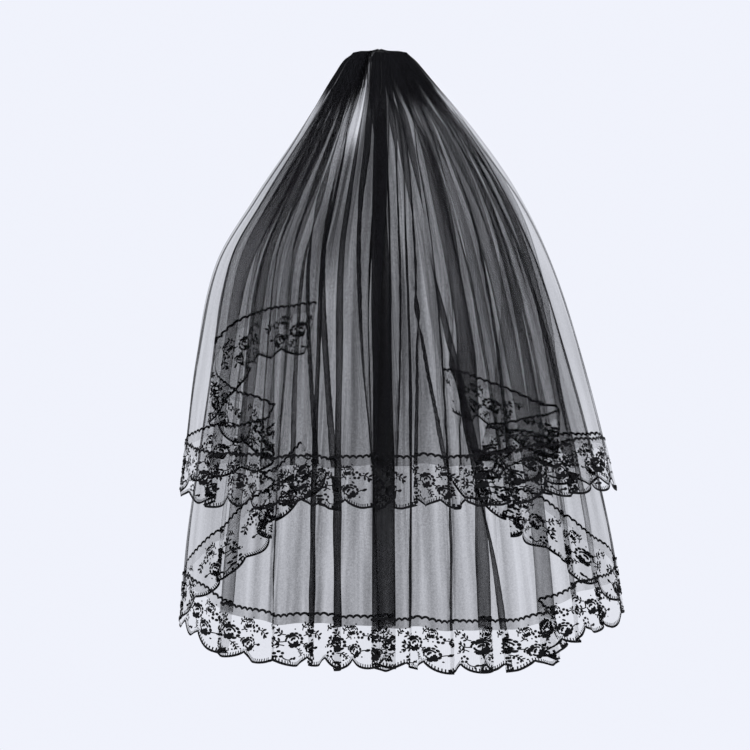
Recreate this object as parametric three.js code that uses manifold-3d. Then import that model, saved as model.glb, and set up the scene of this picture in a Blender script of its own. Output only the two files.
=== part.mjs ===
// A two-tier mesh veil on a hair comb, as it hangs when worn, in millimetres, +Z up.
// The origin is where the comb's teeth leave its spine, in the middle of its width.
// The back of the veil faces -Y, and +X is on the right of someone who looks at that back.
// A drop is a distance below the origin. A turn is an angle round the veil in degrees,
// 0 at the middle of the back, negative to the left and positive to the right.
import * as THREE from 'three';
import { mergeVertices } from 'three/addons/utils/BufferGeometryUtils.js';
import Module from 'manifold-3d';

const wasm = await Module();
wasm.setup();

// Cloth walls, measured level
const TULLE_WALL = 1.2;
const LACE_WALL = 1.0;
const SEWN_GAP = 0.35;

// Lace edging: it is sewn over the net's cut edge and hangs below it in scallops
const LACE_OVERLAP = 15;
const LACE_HANG = 60;
const SCALLOP_PITCH = 50;
const SCALLOP_DEPTH = 12;
const COLUMNS_PER_SCALLOP = 3;

// Where the cloth ends: the top of the gathers, and the free front edges
const TOP_DROP = -19;
const FRONT_EDGE = { upper: 150, lower: 156 };

// A pleat is a ridge and a valley beside it. Its width is a share of its lap, and the slope between them
// is steepened by swinging both towards each other.
const PLEAT_WIDTH = 0.55;
const PLEAT_SWING = 0.6;
const PLEATS_START = 20;
const PLEATS_FULL = 300;

// Steps in which a drape is measured, and how far past its front edges
const TURN_STEP = 0.25;
const PAST_EDGE = 24;
const EDGE_STEP = 1;

// How far each tier stands out from the origin's upright line at each drop, and how deep its pleats are
const UPPER_FORM = [
  { drop: -19, left: 24, right: 27, back: 8, front: 7, pleat: 0 },
  { drop: -12, left: 36, right: 41, back: 12, front: 11, pleat: 0.3 },
  { drop: -3, left: 45, right: 49, back: 17, front: 15, pleat: 0.6 },
  { drop: 15, left: 57, right: 65, back: 24, front: 22, pleat: 1.2 },
  { drop: 100, left: 113, right: 136, back: 60, front: 60, pleat: 3.2 },
  { drop: 190, left: 173, right: 198, back: 90, front: 94, pleat: 4.5 },
  { drop: 283, left: 227, right: 241, back: 118, front: 120, pleat: 5.5 },
  { drop: 420, left: 254, right: 282, back: 138, front: 136, pleat: 7 },
  { drop: 625, left: 277, right: 330, back: 165, front: 150, pleat: 8 },
];
const LOWER_FORM = [
  { drop: -19, left: 22.2, right: 25.2, back: 6.2, front: 5.2, pleat: 0 },
  { drop: -12, left: 32, right: 37, back: 9, front: 8, pleat: 0.2 },
  { drop: -3, left: 40, right: 44, back: 12.5, front: 11, pleat: 0.5 },
  { drop: 15, left: 50, right: 57, back: 18, front: 17, pleat: 1.1 },
  { drop: 100, left: 104, right: 126, back: 51, front: 50, pleat: 3.0 },
  { drop: 180, left: 154, right: 174, back: 76, front: 78, pleat: 4.2 },
  { drop: 275, left: 207, right: 218, back: 103, front: 105, pleat: 5.0 },
  { drop: 440, left: 235, right: 264, back: 125, front: 122, pleat: 6.5 },
  { drop: 634, left: 262, right: 313, back: 148, front: 136, pleat: 7.5 },
  { drop: 840, left: 282, right: 345, back: 168, front: 150, pleat: 8.5 },
];

// The drop of the net's cut edge round each tier: level at the back and higher in front
const UPPER_HEM = [
  { turn: -150, drop: 510 },
  { turn: -140, drop: 516 },
  { turn: -128, drop: 522 },
  { turn: -116, drop: 530 },
  { turn: -104, drop: 538 },
  { turn: -92, drop: 545 },
  { turn: -82, drop: 551 },
  { turn: -50, drop: 562 },
  { turn: 50, drop: 564 },
  { turn: 82, drop: 546 },
  { turn: 92, drop: 536 },
  { turn: 106, drop: 532 },
  { turn: 118, drop: 529 },
  { turn: 130, drop: 526 },
  { turn: 142, drop: 521 },
  { turn: 150, drop: 516 },
];
const LOWER_HEM = [
  { turn: -156, drop: 540 },
  { turn: -142, drop: 605 },
  { turn: -125, drop: 665 },
  { turn: -105, drop: 705 },
  { turn: -85, drop: 728 },
  { turn: -64, drop: 744 },
  { turn: -44, drop: 774 },
  { turn: -10, drop: 784 },
  { turn: 38, drop: 786 },
  { turn: 50, drop: 750 },
  { turn: 85, drop: 716 },
  { turn: 105, drop: 690 },
  { turn: 125, drop: 650 },
  { turn: 142, drop: 600 },
  { turn: 156, drop: 545 },
];

// The main pleats of each tier. lean says which way the outer fold points: 1 to the right, -1 to the left.
const UPPER_PLEATS = [
  { turn: -136, lap: 22, lean: -1 },
  { turn: -104, lap: 14, lean: 1 },
  { turn: -76, lap: 18, lean: -1 },
  { turn: -46, lap: 16, lean: -1 },
  { turn: -17, lap: 18, lean: -1 },
  { turn: 3, lap: 34, lean: 1 },
  { turn: 23, lap: 16, lean: 1 },
  { turn: 42, lap: 18, lean: 1 },
  { turn: 72, lap: 20, lean: 1 },
  { turn: 110, lap: 22, lean: -1 },
  { turn: 134, lap: 22, lean: 1 },
];
const LOWER_PLEATS = [
  { turn: -138, lap: 22, lean: 1 },
  { turn: -112, lap: 22, lean: -1 },
  { turn: -84, lap: 18, lean: -1 },
  { turn: -54, lap: 20, lean: -1 },
  { turn: -15, lap: 18, lean: -1 },
  { turn: 4, lap: 32, lean: -1 },
  { turn: 26, lap: 18, lean: 1 },
  { turn: 43, lap: 20, lean: 1 },
  { turn: 76, lap: 18, lean: 1 },
  { turn: 110, lap: 22, lean: 1 },
  { turn: 138, lap: 22, lean: -1 },
];

// The drops of the net's rows of points at the middle of the back; shorter columns share them out
const UPPER_ROWS = [-19, -12, -3, 15, 100, 190, 283, 420, 549];
const LOWER_ROWS = [-19, -12, -3, 15, 100, 180, 275, 440, 769];

// Comb: a bowed spine and a row of teeth
const COMB_HALF_WIDTH = 31;
const COMB_BOW = 9;
const COMB_THICK = 2.6;
const COMB_HEIGHT = 8;
const COMB_REACH = 75;
const COMB_STEPS = 16;
const TOOTH_COUNT = 15;
const TOOTH_LENGTH = 36;
const TOOTH_SINK = 3;
const TOOTH_ROOT_RADIUS = 0.95;
const TOOTH_TIP_RADIUS = 0.5;
const TOOTH_SIDES = 6;
const TOOTH_REACH = 71;

const LONGEST_MITRE = 2;
const MERGE_DISTANCE = 1e-4;

const tulle = new THREE.MeshStandardMaterial({ color: 0x111114, roughness: 0.8, metalness: 0 });
const lace = new THREE.MeshStandardMaterial({ color: 0x08080a, roughness: 0.7, metalness: 0 });
const combPlastic = new THREE.MeshStandardMaterial({ color: 0x0c0c0d, roughness: 0.3, metalness: 0 });

// Reading the tables

function slopeOf(rows, i, key, column) {
  const before = rows[Math.max(i - 1, 0)];
  const after = rows[Math.min(i + 1, rows.length - 1)];
  return (after[column] - before[column]) / (after[key] - before[key]);
}

// Reads a column smoothly between a table's rows, and straight on past its ends
function read(rows, key, at, column) {
  let i = 0;
  while (i < rows.length - 2 && at > rows[i + 1][key]) i += 1;
  const low = rows[i];
  const high = rows[i + 1];
  const span = high[key] - low[key];
  const t = (at - low[key]) / span;
  const slopeLow = slopeOf(rows, i, key, column) * span;
  const slopeHigh = slopeOf(rows, i + 1, key, column) * span;
  if (t < 0) return low[column] + t * slopeLow;
  if (t > 1) return high[column] + (t - 1) * slopeHigh;
  const rise = t * t * (3 - 2 * t);
  const ease = t * (1 - t);
  return low[column] * (1 - rise) + high[column] * rise + ease * ((1 - t) * slopeLow - t * slopeHigh);
}

// Reads a column straight between rows, of which there may be many, in order of the key
function between(rows, key, at, column) {
  let low = 0;
  let high = rows.length - 1;
  while (high - low > 1) {
    const half = (low + high) >> 1;
    if (rows[half][key] > at) high = half;
    else low = half;
  }
  const share = (at - rows[low][key]) / (rows[high][key] - rows[low][key]);
  return THREE.MathUtils.lerp(rows[low][column], rows[high][column], share);
}

// The place on a tier's plain form, without pleats, moved outwards by a distance
function onForm(form, turn, drop, outwards) {
  const angle = THREE.MathUtils.degToRad(turn);
  const across = read(form, 'drop', drop, turn < 0 ? 'left' : 'right');
  const deep = read(form, 'drop', drop, Math.abs(turn) < 90 ? 'back' : 'front');
  const normal = new THREE.Vector2(Math.sin(angle) / across, -Math.cos(angle) / deep).normalize();
  const x = across * Math.sin(angle) + normal.x * outwards;
  const y = -deep * Math.cos(angle) + normal.y * outwards;
  return new THREE.Vector3(x, y, -drop);
}

// A smooth there-and-back step, 1 at -1, -1 at 1, and nothing far away
const sway = (x) => -x * Math.exp((1 - x * x) / 2);

// A tier's draped cloth. walk is a distance along its hem from the middle of the back.
function drapedCloth(form, hem, pleats, frontEdge) {
  const hemDrop = read(hem, 'turn', 0, 'drop');
  const folds = pleats.map(({ turn, lap, lean }) => {
    const here = onForm(form, turn, hemDrop, 0);
    const oneDegreeOn = onForm(form, turn + 1, hemDrop, 0);
    const perDegree = here.distanceTo(oneDegreeOn);
    const width = (PLEAT_WIDTH * lap) / perDegree;
    const reach = PLEAT_SWING * width;
    return { turn, lean, width, reach };
  });

  function place(evenTurn, drop) {
    const grown = THREE.MathUtils.smoothstep(drop, PLEATS_START, PLEATS_FULL);
    const depth = read(form, 'drop', drop, 'pleat');
    let turn = evenTurn;
    let outwards = 0;
    for (const fold of folds) {
      const swing = sway((evenTurn - fold.turn) / fold.width);
      turn += grown * fold.reach * swing;
      outwards += depth * fold.lean * swing;
    }
    return onForm(form, turn, drop, outwards);
  }

  // Distances walked along the level hem line, from past one front edge to past the other
  const steps = Math.round((frontEdge + PAST_EDGE) / TURN_STEP);
  const marks = [{ turn: -steps * TURN_STEP, walk: 0 }];
  for (let k = 1 - steps; k <= steps; k += 1) {
    const turn = k * TURN_STEP;
    const last = marks[marks.length - 1];
    const walk = last.walk + place(turn, hemDrop).distanceTo(place(last.turn, hemDrop));
    marks.push({ turn, walk });
  }
  const middle = marks[steps].walk;
  for (const mark of marks) mark.walk -= middle;
  const turnAt = (walk) => between(marks, 'walk', walk, 'turn');
  const walkAt = (turn) => between(marks, 'turn', turn, 'walk');
  const dropAt = (walk) => read(hem, 'turn', turnAt(walk), 'drop');

  // The cut edge as a line in walk and drop, with the distance along it
  const edge = [{ walk: walkAt(-frontEdge), along: 0 }];
  for (let walk = edge[0].walk + EDGE_STEP; walk < walkAt(frontEdge); walk += EDGE_STEP) {
    const last = edge[edge.length - 1];
    const along = last.along + Math.hypot(EDGE_STEP, dropAt(walk) - dropAt(last.walk));
    edge.push({ walk, along });
  }
  const edgeLength = edge[edge.length - 1].along;

  // The place at a distance along the cut edge and a distance out past it, square to the edge
  function pastEdge(along, out) {
    const walk = between(edge, 'along', along, 'walk');
    const slope = (dropAt(walk + EDGE_STEP) - dropAt(walk - EDGE_STEP)) / (2 * EDGE_STEP);
    const square = Math.hypot(1, slope);
    return { walk: walk - (out * slope) / square, drop: dropAt(walk) + out / square };
  }
  const at = ({ walk, drop }) => place(turnAt(walk), drop);
  return { at, pastEdge, edgeLength };
}

// Walls

// Moves each point of a grid sideways in plan, so that each straight stretch moves by the distance
function besides(grid, distance) {
  const plan = (from, to) => {
    const along = new THREE.Vector2(to.x - from.x, to.y - from.y).normalize();
    return new THREE.Vector2(along.y, -along.x);
  };
  return grid.map((column, i) => column.map((point, j) => {
    const before = grid[Math.max(i - 1, 0)][j];
    const after = grid[Math.min(i + 1, grid.length - 1)][j];
    const normalBefore = i > 0 ? plan(before, point) : plan(point, after);
    const normalAfter = i < grid.length - 1 ? plan(point, after) : normalBefore;
    const normal = normalBefore.clone().add(normalAfter).normalize();
    const mitre = 1 / Math.max(normal.dot(normalAfter), 1 / LONGEST_MITRE);
    const step = normal.multiplyScalar(distance * mitre);
    return new THREE.Vector3(point.x + step.x, point.y + step.y, point.z);
  }));
}

// A closed wall between two grids of the same shape, the first of them on its outer face
function wall(outer, inner) {
  const rows = outer[0].length;
  const count = outer.length * rows;
  const positions = [...outer.flat(), ...inner.flat()].flatMap((point) => point.toArray());
  const faces = [];
  for (let i = 0; i < outer.length - 1; i += 1) {
    for (let j = 0; j < rows - 1; j += 1) {
      const a = i * rows + j;
      const b = a + 1;
      const c = a + rows;
      const d = c + 1;
      faces.push([a, b, c], [c, b, d]);
    }
  }
  const borders = new Map();
  for (const [a, b, c] of faces) {
    for (const [from, to] of [[a, b], [b, c], [c, a]]) {
      if (!borders.delete(`${to} ${from}`)) borders.set(`${from} ${to}`, [from, to]);
    }
  }
  const backs = faces.map(([a, b, c]) => [a + count, c + count, b + count]);
  const rim = ([a, b]) => [[b, a, a + count], [b, a + count, b + count]];
  const rims = [...borders.values()].flatMap(rim);
  const geometry = new THREE.BufferGeometry();
  geometry.setAttribute('position', new THREE.Float32BufferAttribute(positions, 3));
  geometry.setIndex([...faces, ...backs, ...rims].flat());
  geometry.computeVertexNormals();
  return geometry;
}

function tierGeometry(cloth, rowDrops, columns) {
  const lowest = rowDrops[rowDrops.length - 1];
  const grid = columns.map((along) => {
    const sewnLine = cloth.pastEdge(along, -LACE_OVERLAP);
    const cutEdge = cloth.pastEdge(along, 0);
    const points = rowDrops.map((rowDrop) => {
      const share = (rowDrop - TOP_DROP) / (lowest - TOP_DROP);
      const walk = THREE.MathUtils.lerp(cutEdge.walk, sewnLine.walk, share);
      const drop = THREE.MathUtils.lerp(TOP_DROP, sewnLine.drop, share);
      return cloth.at({ walk, drop });
    });
    return [...points, cloth.at(cutEdge)];
  });
  return wall(besides(grid, TULLE_WALL / 2), besides(grid, -TULLE_WALL / 2));
}

function laceGeometry(cloth, columns) {
  const grid = columns.map((along, i) => {
    const share = (i % COLUMNS_PER_SCALLOP) / COLUMNS_PER_SCALLOP;
    const scallop = SCALLOP_DEPTH * (1 - Math.sin(Math.PI * share));
    const outs = [-LACE_OVERLAP, 0, LACE_HANG - scallop];
    return outs.map((out) => cloth.at(cloth.pastEdge(along, out)));
  });
  const innerFace = TULLE_WALL / 2 + SEWN_GAP;
  return wall(besides(grid, innerFace + LACE_WALL), besides(grid, innerFace));
}

// Columns of points along a cloth's cut edge, a whole number of them to each scallop
function columnsAlong(cloth) {
  const scallops = Math.round(cloth.edgeLength / SCALLOP_PITCH);
  const count = scallops * COLUMNS_PER_SCALLOP;
  return Array.from({ length: count + 1 }, (_, i) => (i * cloth.edgeLength) / count);
}

// Comb

function toSolid(geometry) {
  const bare = geometry.index ? geometry.clone() : geometry;
  bare.deleteAttribute('normal');
  bare.deleteAttribute('uv');
  const merged = mergeVertices(bare, MERGE_DISTANCE);
  const vertProperties = new Float32Array(merged.attributes.position.array);
  const triVerts = new Uint32Array(merged.index.array);
  return new wasm.Manifold(new wasm.Mesh({ numProp: 3, vertProperties, triVerts }));
}

function fromSolid(solid) {
  const { vertProperties, triVerts } = solid.getMesh();
  const geometry = new THREE.BufferGeometry();
  geometry.setAttribute('position', new THREE.BufferAttribute(vertProperties, 3));
  geometry.setIndex(new THREE.BufferAttribute(triVerts, 1));
  geometry.computeVertexNormals();
  return geometry;
}

// A point on the comb's bow, seen from above
function onBow(turn, inset) {
  const angle = THREE.MathUtils.degToRad(turn);
  const x = (COMB_HALF_WIDTH - inset) * Math.sin(angle);
  const y = -(COMB_BOW - inset) * Math.cos(angle);
  return new THREE.Vector2(x, y);
}

function combGeometry() {
  const turns = Array.from({ length: COMB_STEPS + 1 }, (_, i) => COMB_REACH * ((2 * i) / COMB_STEPS - 1));
  const outer = turns.map((turn) => onBow(turn, 0));
  const inner = turns.reverse().map((turn) => onBow(turn, COMB_THICK));
  const outline = new THREE.Shape([...outer, ...inner]);
  const spine = new THREE.ExtrudeGeometry(outline, { depth: COMB_HEIGHT, bevelEnabled: false });
  let comb = toSolid(spine);
  const widest = Math.sin(THREE.MathUtils.degToRad(TOOTH_REACH));
  for (let i = 0; i < TOOTH_COUNT; i += 1) {
    const sideways = (2 * i) / (TOOTH_COUNT - 1) - 1;
    const turn = THREE.MathUtils.radToDeg(Math.asin(sideways * widest));
    const root = onBow(turn, COMB_THICK / 2);
    const length = TOOTH_LENGTH + TOOTH_SINK;
    const tooth = new THREE.CylinderGeometry(TOOTH_ROOT_RADIUS, TOOTH_TIP_RADIUS, length, TOOTH_SIDES);
    tooth.rotateX(Math.PI / 2);
    tooth.translate(root.x, root.y, TOOTH_SINK - length / 2);
    comb = comb.add(toSolid(tooth));
  }
  return fromSolid(comb);
}

// The veil

function addPiece(group, name, geometry, material) {
  const mesh = new THREE.Mesh(geometry, material);
  mesh.name = name;
  group.add(mesh);
}

const veil = new THREE.Group();
const upperCloth = drapedCloth(UPPER_FORM, UPPER_HEM, UPPER_PLEATS, FRONT_EDGE.upper);
const lowerCloth = drapedCloth(LOWER_FORM, LOWER_HEM, LOWER_PLEATS, FRONT_EDGE.lower);
const upperColumns = columnsAlong(upperCloth);
const lowerColumns = columnsAlong(lowerCloth);
addPiece(veil, 'upper_tier', tierGeometry(upperCloth, UPPER_ROWS, upperColumns), tulle);
addPiece(veil, 'lower_tier', tierGeometry(lowerCloth, LOWER_ROWS, lowerColumns), tulle);
addPiece(veil, 'upper_lace', laceGeometry(upperCloth, upperColumns), lace);
addPiece(veil, 'lower_lace', laceGeometry(lowerCloth, lowerColumns), lace);
addPiece(veil, 'comb', combGeometry(), combPlastic);

export default veil;
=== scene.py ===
# A two-tier mesh veil with lace edging on a hair comb, as it hangs when worn, in metres, +Z up.
# The origin is where the comb's teeth leave its spine, in the middle of its width, and the back faces -Y.
# A drop is a distance below the origin. A turn is an angle round the veil in degrees, 0 at the middle of
# the back, negative to the left and positive to the right. A walk is a distance along a tier's hem from
# there.
import math
from collections import namedtuple

import bmesh
import bpy
import numpy as np
from mathutils import Matrix, Vector


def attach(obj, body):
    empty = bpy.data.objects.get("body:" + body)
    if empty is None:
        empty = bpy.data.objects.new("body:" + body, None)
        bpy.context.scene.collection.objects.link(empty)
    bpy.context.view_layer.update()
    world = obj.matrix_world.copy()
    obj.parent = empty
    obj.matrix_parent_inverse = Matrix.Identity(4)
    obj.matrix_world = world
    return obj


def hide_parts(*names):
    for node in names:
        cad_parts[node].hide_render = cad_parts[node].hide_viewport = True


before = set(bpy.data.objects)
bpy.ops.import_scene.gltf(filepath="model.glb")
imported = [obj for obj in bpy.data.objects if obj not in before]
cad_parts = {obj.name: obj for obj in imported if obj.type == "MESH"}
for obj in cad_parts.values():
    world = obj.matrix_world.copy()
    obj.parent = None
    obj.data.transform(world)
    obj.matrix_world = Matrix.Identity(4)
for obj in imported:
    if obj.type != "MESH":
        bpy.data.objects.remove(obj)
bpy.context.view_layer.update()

bl_info = {
    "name": "Two-tier lace veil",
    "version": (1, 0, 0),
    "blender": (4, 5, 0),
    "location": "View3D > Sidebar > Veil",
    "description": "Dresses the veil: its net tiers, lace edgings, comb and stage",
    "category": "Object",
}

BODY = "root"

# The forms of the two tiers: how far each stands out from the origin's upright line at each drop,
# and how deep its pleats are
Form = namedtuple("Form", "drop left right back front pleat")
UPPER_FORM = (
    Form(-0.019, 0.024, 0.027, 0.008, 0.007, 0.0012),
    Form(-0.012, 0.0350, 0.0385, 0.012, 0.011, 0.0015),
    Form(-0.003, 0.0475, 0.0500, 0.017, 0.015, 0.0018),
    Form(0.015, 0.0595, 0.0655, 0.024, 0.022, 0.0022),
    Form(0.100, 0.113, 0.136, 0.060, 0.060, 0.0034),
    Form(0.190, 0.173, 0.198, 0.090, 0.094, 0.0045),
    Form(0.283, 0.227, 0.241, 0.118, 0.120, 0.0055),
    Form(0.420, 0.255, 0.285, 0.138, 0.136, 0.0070),
    Form(0.625, 0.279, 0.337, 0.165, 0.150, 0.0080),
)
LOWER_FORM = (
    Form(-0.019, 0.0222, 0.0252, 0.0062, 0.0052, 0.0010),
    Form(-0.012, 0.032, 0.037, 0.009, 0.008, 0.0013),
    Form(-0.003, 0.040, 0.044, 0.0125, 0.011, 0.0016),
    Form(0.015, 0.050, 0.057, 0.018, 0.017, 0.0020),
    Form(0.100, 0.104, 0.126, 0.051, 0.050, 0.0032),
    Form(0.180, 0.154, 0.174, 0.076, 0.078, 0.0042),
    Form(0.275, 0.207, 0.218, 0.103, 0.105, 0.0050),
    Form(0.440, 0.235, 0.270, 0.125, 0.122, 0.0065),
    Form(0.634, 0.263, 0.318, 0.148, 0.136, 0.0075),
    Form(0.840, 0.283, 0.350, 0.168, 0.150, 0.0085),
)

# The drop of the net's cut edge round each tier: level at the back and higher in front
Hem = namedtuple("Hem", "turn drop")
UPPER_HEM = (
    Hem(-166, 0.352), Hem(-160, 0.353), Hem(-154, 0.368), Hem(-148, 0.402), Hem(-138, 0.440),
    Hem(-126, 0.480), Hem(-116, 0.506), Hem(-108, 0.518), Hem(-98, 0.528), Hem(-88, 0.542),
    Hem(-76, 0.552), Hem(-50, 0.562), Hem(18, 0.563), Hem(34, 0.556), Hem(53, 0.546),
    Hem(72, 0.540), Hem(90, 0.537), Hem(106, 0.535), Hem(118, 0.532), Hem(130, 0.520),
    Hem(142, 0.505), Hem(154, 0.490), Hem(160, 0.460), Hem(166, 0.440),
)
LOWER_HEM = (
    Hem(-156, 0.540), Hem(-142, 0.605), Hem(-125, 0.665), Hem(-105, 0.705), Hem(-85, 0.728),
    Hem(-64, 0.744), Hem(-44, 0.774), Hem(-10, 0.784), Hem(38, 0.786), Hem(50, 0.750),
    Hem(85, 0.716), Hem(105, 0.690), Hem(125, 0.650), Hem(142, 0.600), Hem(156, 0.545),
)

# The pleats of each tier, at their turns along the hem. lap is how far a pleat's cloth lies over itself,
# and lean says which way its outer fold points: 1 to the right, -1 to the left. A pleat begins at the drop
# start, drift is how many degrees further round it would lie at the comb, and bunch is how many more layers
# of net it gathers up.
Pleat = namedtuple("Pleat", "turn lap lean start drift bunch")
UPPER_PLEATS = (
    Pleat(-130.5, 0.110, -1, 0.00, 10, 0.0), Pleat(-89, 0.0018, -1, 0.00, 0, 2.4),
    Pleat(-57, 0.010, -1, 0.06, 4, 0.3), Pleat(-45, 0.004, -1, 0.02, -2, 0.4),
    Pleat(-37, 0.005, 1, 0.01, -3, 0.4), Pleat(-26, 0.005, -1, 0.00, -3, 0.6),
    Pleat(-18.4, 0.005, -1, 0.10, -14, 1.6), Pleat(-13.2, 0.007, -1, 0.10, -14, 1.4),
    Pleat(-3.8, 0.007, -1, 0.00, -7, 1.6), Pleat(-1.6, 0.012, -1, 0.00, -2, 1.6),
    Pleat(0.8, 0.013, 1, 0.00, 0, 1.6), Pleat(3.2, 0.008, 1, 0.00, 2, 1.6),
    Pleat(4.9, 0.004, 1, 0.02, 4, 1.6), Pleat(9, 0.004, 1, 0.00, 6, 1.2),
    Pleat(16.8, 0.005, 1, 0.28, -14, 1.6), Pleat(20.5, 0.003, -1, 0.02, 6, 0.4),
    Pleat(25.5, 0.009, 1, 0.24, -16, 2.2), Pleat(32, 0.004, 1, 0.14, -3, 1.0),
    Pleat(34.4, 0.004, 1, 0.02, 5, 1.0), Pleat(44.7, 0.010, 1, 0.02, 6, 1.2),
    Pleat(55, 0.009, 1, 0.04, 10, 1.0), Pleat(90, 0.0018, 1, 0.00, 0, 2.4),
    Pleat(140.5, 0.114, 1, 0.00, -38, 0.0),
)
LOWER_PLEATS = (
    Pleat(-143, 0.016, 1, 0.00, 0, 0.2), Pleat(-124, 0.004, 1, 0.05, 0, 0.2),
    Pleat(-89, 0.0018, -1, 0.00, 0, 2.4), Pleat(-50, 0.012, -1, 0.00, 2, 0.9),
    Pleat(-32, 0.003, 1, 0.00, -5, 0.2), Pleat(-19.5, 0.006, -1, 0.00, -4, 2.6),
    Pleat(-11.9, 0.009, -1, 0.00, -4, 2.4), Pleat(-3.9, 0.005, -1, 0.00, -3, 4.0),
    Pleat(1.0, 0.032, -1, 0.00, 0, 3.5), Pleat(8.2, 0.005, 1, 0.00, 3, 3.0),
    Pleat(17, 0.003, 1, 0.00, 5, 0.2), Pleat(25.3, 0.014, 1, 0.00, 4, 0.4),
    Pleat(30.2, 0.007, 1, 0.05, -7, 2.6), Pleat(43, 0.018, 1, 0.00, 4, 0.6),
    Pleat(53, 0.004, 1, 0.02, 5, 0.4), Pleat(64.6, 0.004, 1, 0.02, 3, 0.5),
    Pleat(90, 0.0018, 1, 0.00, 0, 2.4), Pleat(126, 0.005, -1, 0.02, 0, 0.2),
    Pleat(143, 0.016, -1, 0.00, 0, 0.2),
)

# A pleat's half width as a share of its lap, how much drop it takes to grow, and its depth as a share of
# the form's: LEAST_DEPTH for a very small lap, and more with the lap, up to the whole
PLEAT_WIDTH = 0.55
PLEAT_GROWTH = 0.13
FULL_DEPTH_LAP = 0.016
LEAST_DEPTH = 0.14

# The fine gathers below the comb, which spread out and vanish further down. Half width, lap and jitter are
# in spacings, the depth is a share of the form's, and GATHER_FADE is where along its length one begins to
# thin. The lengths lie between two drops, and GATHERS_BIAS over 1 makes more of them short.
GATHER_SHARE = 0.34
GATHER_LAP = 1.05
GATHER_DEPTH = 0.55
GATHER_JITTER = 0.30
GATHER_SPREAD = 0.7
GATHER_FADE = 0.25
GATHERS_LONGEST = 0.46
GATHERS_SHORTEST = 0.08
GATHERS_BIAS = 1.5
GOLDEN = 0.618034

# Soft upright ripples all round: how far and how fast they wander sideways, and the drops where they grow
RIPPLE_PITCH = 0.041
RIPPLE_DEPTH = 0.0008
RIPPLE_DRIFT = 3.1
RIPPLE_BENDS_DOWN = 11
RIPPLE_BENDS_ALONG = 9
RIPPLE_GROWTH = (0.03, 0.3)

# The ragged top of the cloth. The first TUCK_SHARE of the rows are tucked in and down, CREST_SHARE of them
# form the crest, and the hem's cut edge strays by HEM_WAVES.
TOP_DROP = -0.0205
TOP_RAGGED = 0.0012
RAG_PITCHES = (0.128, 0.071)
TUCK_SHARE = 0.03
TUCK_INWARDS = 0.85
TUCK_DOWN = 0.003
CREST_SHARE = 0.05
CREST = 0.0015
Wave = namedtuple("Wave", "pitch height")
HEM_WAVES = (Wave(0.131, 0.0022), Wave(0.0617, 0.0013))

# The fine steps in which a drape is measured, and how many degrees past its front edges
TURN_STEP = 0.05
PAST_EDGE = 24
EDGE_STEP = 0.0005
HEADING_STEP = 0.0004
SLOPE_STEP = 0.004
SMALLEST = 1e-9

# The cloth meshes: whole numbers of columns and rows, each mesh under 200,000 triangles
NET_COLUMNS = 1080
NET_ROWS = 88
ROW_CROWDING = 1.35
GRID_DIGITS = 6
MERGE_DISTANCE = 1e-6

# How many layers of net the cloth counts as round each tier: near the comb, halfway and at the
# hem, and the drops of the first two. From about -34 to 44 degrees the counts run above the gathers
# there, which darkens the net: partly real gathers and partly painted shade for the shaded form seen through
# it.
Density = namedtuple("Density", "turn comb middle hem")
UPPER_DENSITY = (
    Density(-166, 1.2, 1.3, 0.9), Density(-126, 1.2, 1.3, 0.9), Density(-112, 0.9, 0.9, 0.9),
    Density(-70, 1.7, 0.9, 0.9), Density(-66, 2.8, 1.2, 0.9), Density(-50, 2.6, 1.5, 1.0),
    Density(-34, 2.0, 2.2, 1.7), Density(-26, 1.3, 2.4, 1.9), Density(-22, 0.5, 3.2, 2.1),
    Density(-15, 0.5, 2.8, 2.2), Density(-12.5, 4.0, 2.6, 2.2), Density(-9, 4.0, 3.4, 2.6),
    Density(8, 4.0, 3.4, 2.6), Density(11, 2.9, 3.0, 2.4), Density(20, 2.8, 2.8, 2.3),
    Density(27, 2.3, 2.3, 1.9), Density(44, 1.7, 2.0, 1.6), Density(65, 1.9, 1.8, 1.3),
    Density(69, 1.0, 0.95, 0.9), Density(112, 0.9, 0.9, 0.9), Density(126, 1.2, 1.2, 0.9),
    Density(166, 1.2, 1.2, 0.9),
)
LOWER_DENSITY = (
    Density(-156, 1.2, 1.0, 0.9), Density(-100, 1.0, 0.95, 0.9), Density(-70, 2.4, 1.1, 0.9),
    Density(-52, 2.6, 1.5, 1.7), Density(-34, 2.0, 2.1, 3.2), Density(-26, 1.3, 2.3, 3.6),
    Density(-22, 0.5, 2.8, 3.7), Density(-15, 0.5, 2.7, 3.8), Density(-12.5, 4.0, 2.8, 3.9),
    Density(-9, 4.0, 3.4, 3.9), Density(8, 4.0, 3.2, 3.9), Density(11, 2.7, 2.9, 3.8),
    Density(22, 2.6, 2.6, 3.4), Density(30, 2.2, 2.2, 2.4), Density(44, 1.7, 2.0, 1.7),
    Density(66, 1.8, 1.7, 1.0), Density(71, 1.0, 0.95, 0.9), Density(106, 1.0, 0.95, 0.9),
    Density(156, 1.2, 1.0, 0.9),
)
COMB_ZONE_END = 0.08
MIDDLE_DROP = 0.28
MOST_LAYERS = 24.0

# The stitched gathers over the comb: how many layers they add, between which densities of the table's
# first column they grow to that, and the drops where they thin out
CAP_LAYERS = 8.0
CAP_DENSITIES = (0.4, 1.6)
CAP_FULL = -0.002
CAP_END = 0.095

# A sharp bend in the cloth shows as a darker line: the angle, in radians, from which it counts in full,
# and the share of layers that it adds
CREASE_ANGLE = 0.45
CREASE_LAYERS = 1.6

# Where the cloth hangs smooth below the comb: from and to which turns, and the drop where its fine
# gathers end there, 0 for none at all
Calm = namedtuple("Calm", "start end drop")
UPPER_CALM = (Calm(-166, -66, 0.075), Calm(-25, -13, 0.0), Calm(60, 166, 0.060))
LOWER_CALM = (Calm(-156, -72, 0.130), Calm(-25, -13, 0.0), Calm(66, 156, 0.110))

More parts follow.
